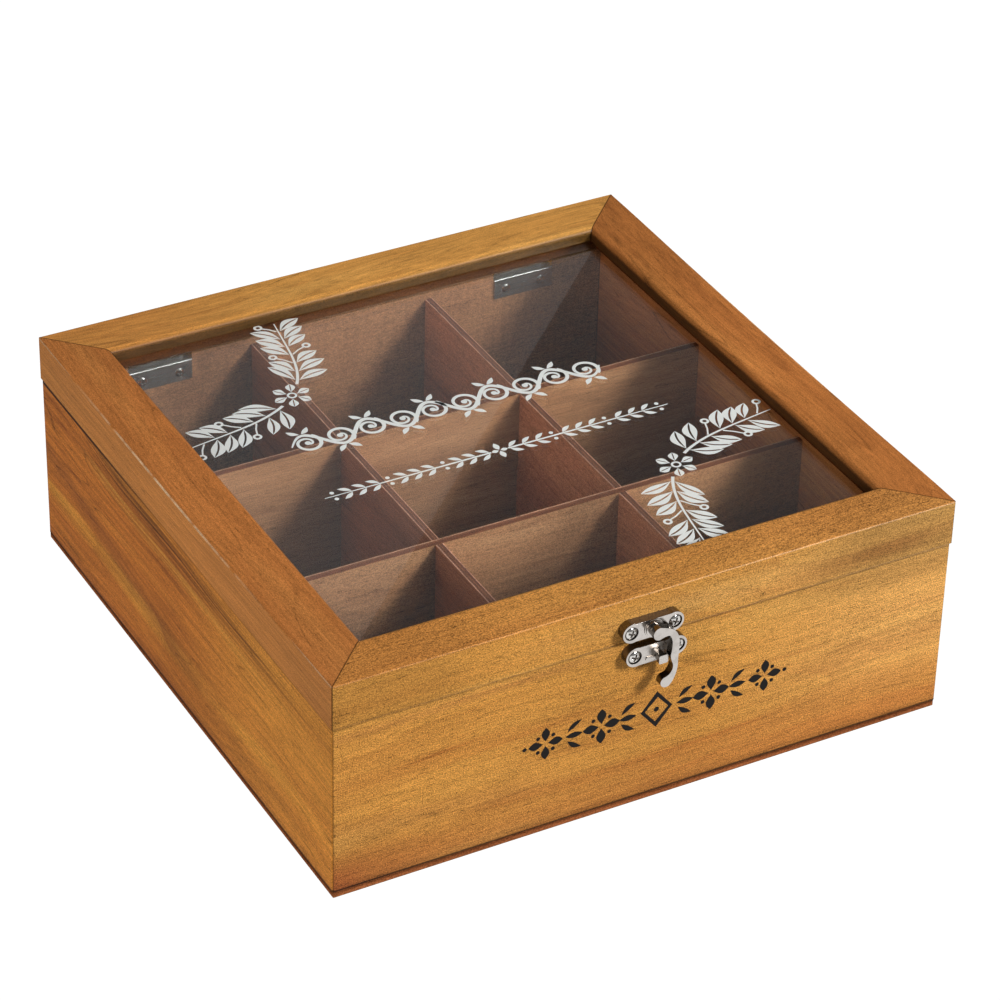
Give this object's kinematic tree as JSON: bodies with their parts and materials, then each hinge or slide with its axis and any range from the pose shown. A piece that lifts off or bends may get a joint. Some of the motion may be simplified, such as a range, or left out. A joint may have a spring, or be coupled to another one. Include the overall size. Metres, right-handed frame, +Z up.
{
  "type": "tea bag organizer box",
  "caption": "Square wooden tea bag box with an egg-crate of compartments, a mitred glazed lid on rear stop hinges, and a swing-hook clasp on the front.",
  "frame": {"origin": "centre of the box's underside, on the table: the middle of the base panel's flat lower face, between the outer faces of the four walls", "axes": "+Z up through the lid; -Y is the front, with the clasp; +X is to the right seen from the front; the hinge axis lies behind the rear wall, along X"},
  "size_m": [0.24, 0.2511, 0.088],
  "materials": {
    "case_wood": "satin stain over straight horizontal grain",
    "lid_wood": "satin stain, redder on the side members",
    "divider_wood": "thin stained plywood, matt",
    "base_wood": "stained plywood, matt",
    "glass": "clear float glass",
    "nickel": "bright nickel plate"
  },
  "bodies": {
    "case": {"wall_front": "case_wood", "wall_rear": "case_wood", "wall_left": "case_wood", "wall_right": "case_wood", "base_panel": "base_wood", "divider_x_front": "divider_wood", "divider_x_rear": "divider_wood", "divider_y_left": "divider_wood", "divider_y_right": "divider_wood", "hinge_left_case_leaf": "nickel", "hinge_right_case_leaf": "nickel", "hinge_left_pin": "nickel", "hinge_right_pin": "nickel", "hinge_case_screws": "nickel", "catch_plate": "nickel", "catch_screws": "nickel"},
    "lid": {"lid_frame_front": "lid_wood", "lid_frame_rear": "lid_wood", "lid_frame_left": "lid_wood", "lid_frame_right": "lid_wood", "glass_pane": "glass", "glass_bead_front": "lid_wood", "glass_bead_rear": "lid_wood", "glass_bead_left": "lid_wood", "glass_bead_right": "lid_wood", "hinge_left_lid_leaf": "nickel", "hinge_right_lid_leaf": "nickel", "hinge_lid_screws": "nickel", "clasp_plate": "nickel", "clasp_screws": "nickel"},
    "hook": {"clasp_hook": "nickel"}
  },
  "joints": [
    {"name": "lid_hinge", "type": "hinge", "parent": "case", "child": "lid", "pos_m": [0, 0.122, 0.0688], "axis": [-1, 0, 0], "range_deg": [0, 95]},
    {"name": "hook_pivot", "type": "hinge", "parent": "lid", "child": "hook", "pos_m": [-0.0022, -0.1257, 0.0761], "axis": [0, -1, 0], "range_deg": [0, 110]}
  ]
}
